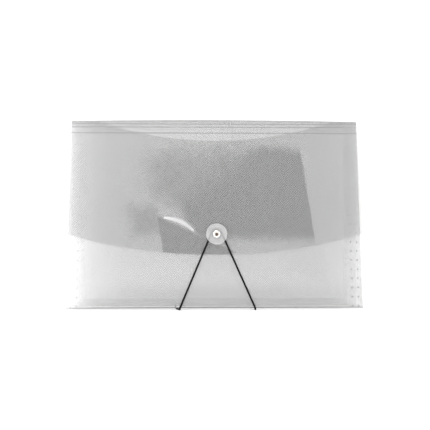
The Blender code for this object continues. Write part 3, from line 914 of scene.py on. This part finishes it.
def gusset_column(kind, t, panel):
    """One upright line of a right-hand gusset, a share t of the way over its flange, bend or leaf."""
    flange_low = FLANGE_LOW if panel == "back" else EDGE_LIFT + FLANGE_LOW
    if kind == "flange":
        low, high = flange_low, FLANGE_TOP
    elif kind == "bend":
        low = flange_low + (LEAF_BASE - flange_low) * t
        high = FLANGE_TOP - LEAF_TOP_DROP * t
    else:
        low = LEAF_BASE + t * math.hypot(FOLD_X - PLEAT_X, HALF_GAP) * 0.97
        high = FLANGE_TOP - LEAF_TOP_DROP
    z = low + np.linspace(0.0, 1.0, GUSSET_ROWS) * (high - low)
    up = np.clip((z - FRONT_FOLD[2]) / (APEX_Z - FRONT_FOLD[2]), 0, 1)
    if panel == "back":
        flange_y = np.full_like(z, BACK_Y - FLANGE_INSET)
        fold_y = np.full_like(z, BACK_FOLD[1])
    else:
        flange_y = front_face_y(z) + FLANGE_INSET / math.cos(LEAN)
        fold_y = FRONT_FOLD[1] + up * (BACK_FOLD[1] - FRONT_FOLD[1])
    if kind == "flange":
        x = np.full_like(z, WIDTH / 2 - FLANGE_WIDTH + t * (FLANGE_WIDTH - 0.0010))
        y = flange_y
    elif kind == "bend":
        x = np.full_like(z, FLANGE_SIDE + 0.0006 * math.sin(math.pi * t))
        y = flange_y + (fold_y - flange_y) * (1 - math.cos(math.pi * t)) / 2
    else:
        inner_x = PLEAT_X + up * (FOLD_X - PLEAT_X)
        inner_y = PLEAT_Y + up * (BACK_FOLD[1] - PLEAT_Y)
        x = FLANGE_SIDE + (inner_x - FLANGE_SIDE) * t * LEAF_SHARE
        y = fold_y + (inner_y - fold_y) * t * LEAF_SHARE
    return x, y, z


def make_gussets():
    """Each gusset: two welded flanges that fold into two leaves, which meet at the pleat."""
    shares = (
        ("flange", np.linspace(0, 1, 6)),
        ("bend", np.linspace(0, 1, 7)[1:-1]),
        ("leaf", np.linspace(0, 1, 8)),
    )
    for side, name in ((-1, "left"), (1, "right")):
        for panel in ("back", "front"):
            columns = []
            for kind, values in shares:
                for t in values:
                    x, y, z = gusset_column(kind, t, panel)
                    columns.append(np.stack((side * x, y, z), axis=1))
            grid = bow_up(np.stack(columns, axis=1))
            outward = (0, 1, 0) if panel == "back" else (0, -1, 0)
            piece = gusset_sheet(f"{name}_{panel}_gusset", grid, outward)
            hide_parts(f"{name}_{panel}_flange", f"{name}_{panel}_leaf")
            x = side * FOLD_X
            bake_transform(piece)


def gusset_sheet(name, grid, outward):
    """Like sheet_from_grid, with the side read at the flange, since the leaf faces the other way."""
    row, column = grid.shape[0] // 2, grid.shape[1] // 2
    if float(surface_normals(grid)[row, 1] @ np.asarray(outward)) < 0:
        grid = grid[::-1]
    return sheet_from_grid(name, grid, surface_normals(grid)[row, column], pp_gusset_painted_light, SHEET * 0.9)


# ---------------------------------------------------------------- the button, the cord and its barbs


def button_axis():
    """Where the button's axis meets the front panel's face, and its direction."""
    foot = np.array((BUTTON_X, front_face_y(BUTTON_Z), BUTTON_Z))
    return foot, OUT_FRONT


def make_button():
    """The rivet and its recess; the CAD's disc, post and washer keep their shape and get materials."""
    head = [
        (0.0, 0.0087),
        (0.0024, 0.0087),
        (0.0028, 0.0088),
        (0.0030, 0.0094),
        (0.0031, 0.0101),
        (0.0034, 0.01040),
        (0.0038, 0.01045),
        (0.0044, 0.0103),
        (0.0052, 0.0099),
        (0.0058, 0.0093),
        (0.0062, 0.0087),
        (0.0063, 0.0084),
        (0.0061, 0.0083),
        (0.0025, 0.0083),
        (0.0025, 0.0006),
        (0.0, 0.0006),
    ]
    rivet = turned("rivet", head, button_axis(), rivet_finish)
    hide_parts("button_rivet")
    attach(rivet, "flap")
    foot, out = button_axis()
    # Painted shade: a dark piece set a little low in the rivet's hollow makes the dark crescent there.
    well = turned(
        "rivet_well",
        [(0.0, 0.00868), (0.0, 0.00930), (0.0014, 0.00925), (0.0022, 0.00905), (0.0024, 0.00868)],
        (foot - UP_FRONT * 0.0005, out),
        recess_painted_shade,
        48,
    )
    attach(well, "flap")
    for node, finish in (
        ("button_disc", disc_finish),
        ("button_post", post_finish),
        ("button_backing", washer_finish),
    ):
        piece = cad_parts[node]
        if not piece.material_slots:
            piece.data.materials.append(finish)
        for place in piece.material_slots:
            place.link = "OBJECT"
            place.material = finish


def loop_centre():
    """The centre of the cord's loop round the post."""
    foot, out = button_axis()
    return foot + out * LOOP_STANDOFF


BEND_Y = front_face_y(EDGE_LIFT) - CORD_STANDOFF + CORD_BEND
BRAID_PITCH = 0.0036
BRAID_DEPTH = 0.00005


def cord_keys():
    """The cord's centreline, by the same construction as the CAD's."""
    origin = loop_centre()
    halves = []
    headings = []
    bend_z = CORD_LOW + CORD_BEND
    for side, foot_x in zip((-1, 1), CORD_FOOT_X):
        wrap = [np.array((foot_x + side * CORD_SPLAY, BEND_Y + CORD_END, CORD_LOW))]
        for t in np.linspace(0, 1, 9):
            angle = math.pi / 2 * t
            x = foot_x + side * CORD_SPLAY * (1 - t)
            y = BEND_Y - CORD_BEND * math.sin(angle)
            wrap.append(np.array((x, y, bend_z - CORD_BEND * math.cos(angle))))
        away = wrap[-1] - origin
        ax, ay = away[0], float(away @ UP_FRONT)
        heading = math.atan2(ay, ax) + side * math.acos(LOOP_RADIUS / math.hypot(ax, ay))
        touch = loop_point(origin, heading)
        leg = [wrap[-1] + (touch - wrap[-1]) * i / 90 for i in range(1, 91)]
        halves.append(wrap + leg)
        headings.append(heading)
    left, right = headings
    left += 2 * math.pi
    turns = [left + (right - left) * i / 40 for i in range(1, 40)]
    return halves[0] + [loop_point(origin, t) for t in turns] + halves[1][::-1]


def loop_point(origin, heading):
    across = np.array((math.cos(heading), 0, 0))
    return origin + LOOP_RADIUS * (across + UP_FRONT * math.sin(heading))


def evenly(points, step):
    """The same line with its points evenly spaced."""
    points = np.asarray(points, float)
    lengths = np.concatenate(((0,), np.cumsum(np.linalg.norm(np.diff(points, axis=0), axis=1))))
    count = int(lengths[-1] / step)
    marks = np.linspace(0, lengths[-1], count)
    return np.stack([np.interp(marks, lengths, points[:, k]) for k in range(3)], axis=1)


def braid(angle, length):
    """The relief of a braided cover: two sets of yarns that cross."""
    turn = length * 2 * math.pi / BRAID_PITCH
    a = math.cos(6 * angle + turn)
    b = math.cos(6 * angle - turn)
    return BRAID_DEPTH * (max(a, 0) + max(b, 0) - 1)


def make_cord():
    """The braided elastic, and the barb at each of its ends."""
    route = evenly(cord_keys(), 0.00055)
    radii = [CORD_RADIUS - 0.00002] * len(route)
    piece = tube_mesh("elastic_cord_braided", route, radii, 24, cord_finish, braid)
    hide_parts("elastic_cord")
    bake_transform(piece)
    mouth = BEND_Y + CORD_END + GAP
    tip_y = FRONT_FOLD[1] + 0.0040
    for side, name, foot_x, tip_x in zip((-1, 1), ("left", "right"), CORD_FOOT_X, BARB_TIP_X):
        x = foot_x + side * CORD_SPLAY
        across = tip_x - x
        keys = [
            (x, mouth - 0.0002, CORD_LOW),
            (x + across * 0.03, mouth + 0.0011, CORD_LOW),
            (x + across * 0.40, mouth + 0.0026, CORD_LOW),
            (x + across * 0.85, mouth + 0.0038, 0.0023),
            (tip_x, tip_y - 0.0004, 0.0042),
            (tip_x, tip_y, 0.0062),
            (tip_x, tip_y - 0.0003, 0.0076),
        ]
        route = smooth([np.array(k) for k in keys], 8)
        count = len(route)
        radii = []
        for i in range(count):
            t = i / (count - 1)
            radii.append((CORD_RADIUS - (CORD_RADIUS - 0.0005) * t) * (1.0 if t > 0.1 else 0.97))
        radii[-1] *= 0.6
        barb = tube_mesh(f"barb_{name}", route, radii, 20, barb_finish)
        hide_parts("cord_barb_" + name)
        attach(barb, "bottom_front")


def smooth(keys, steps):
    """A smooth curve through the keys."""
    padded = [keys[0]] + list(keys) + [keys[-1]]
    points = []
    for a, b, c, d in zip(padded, padded[1:], padded[2:], padded[3:]):
        for i in range(steps):
            t = i / steps
            points.append(
                0.5 * (2 * b + (c - a) * t + (2 * a - 5 * b + 4 * c - d) * t * t)
                + 0.5 * (3 * b - a - 3 * c + d) * t * t * t
            )
    points.append(keys[-1])
    return points


# ---------------------------------------------------------------- floor, light and camera


def make_stage():
    """A pale floor that curves up behind, soft lamps, and the camera in front of the case."""
    g = Graph("pale_floor")
    speck = g.noise(40.0, 3.0)
    pale = g.colour(speck, (0.93, 0.93, 0.93), (0.95, 0.95, 0.95))
    g.links.new(pale, g.shader.inputs["Base Color"])
    g.shader.inputs["Roughness"].default_value = 0.9
    g.shader.inputs["Specular IOR Level"].default_value = 0.0
    g.shader.inputs["Emission Color"].default_value = (1, 1, 1, 1)
    g.shader.inputs["Emission Strength"].default_value = 0.15
    floor_z = -0.0001
    section = [(-3.0, floor_z), (1.2, floor_z)]
    for i in range(1, 13):
        angle = math.pi / 2 * i / 12
        section.append((1.2 + 0.8 * math.sin(angle), 0.8 - 0.8 * math.cos(angle)))
    section.append((2.0, 3.0))
    points = []
    faces = []
    for y, z in section:
        points += [(-4.0, y, z), (4.0, y, z)]
    for i in range(len(section) - 1):
        faces.append((2 * i, 2 * i + 1, 2 * i + 3, 2 * i + 2))
    floor = mesh_object("studio_floor", points, faces, g.material, sharp=60)

    world = bpy.data.worlds.new("studio")
    bpy.context.scene.world = world
    world.use_nodes = True
    background = world.node_tree.nodes["Background"]
    background.inputs["Color"].default_value = (1, 1, 1, 1)
    background.inputs["Strength"].default_value = 1.0

    def softbox(name, place, target, width, height, power):
        light = bpy.data.lights.new(name, "AREA")
        light.shape = "RECTANGLE"
        light.size = width
        light.size_y = height
        light.energy = power
        made = bpy.data.objects.new(name, light)
        bpy.context.scene.collection.objects.link(made)
        made.location = place
        made.rotation_euler = (Vector(target) - Vector(place)).to_track_quat("-Z", "Y").to_euler()

    softbox("key_left", (-1.25, -1.55, 0.95), (0, 0, 0.15), 0.8, 1.1, 9)
    softbox("fill_right", (1.35, -1.45, 0.80), (0, 0, 0.15), 0.7, 1.0, 4)
    softbox("top", (-0.25, -0.80, 1.25), (-0.03, 0, 0.14), 0.55, 0.35, 8.5)

    camera_data = bpy.data.cameras.new("camera")
    camera_data.lens = 45.9
    camera_data.sensor_width = 36.0
    camera_data.clip_start = 0.01
    camera = bpy.data.objects.new("camera", camera_data)
    bpy.context.scene.collection.objects.link(camera)
    camera.location = (-0.020, -0.859, 0.1462)
    target = Vector((0.0, 0.0, 0.1462))
    camera.rotation_euler = (target - camera.location).to_track_quat("-Z", "Y").to_euler()
    bpy.context.scene.camera = camera
    bpy.context.scene.view_settings.view_transform = "Standard"
    bpy.context.scene.cycles.transparent_max_bounces = 40


make_back()
make_front()
make_top()
make_flap()
make_bottom()
make_gussets()
make_button()
make_cord()
make_stage()
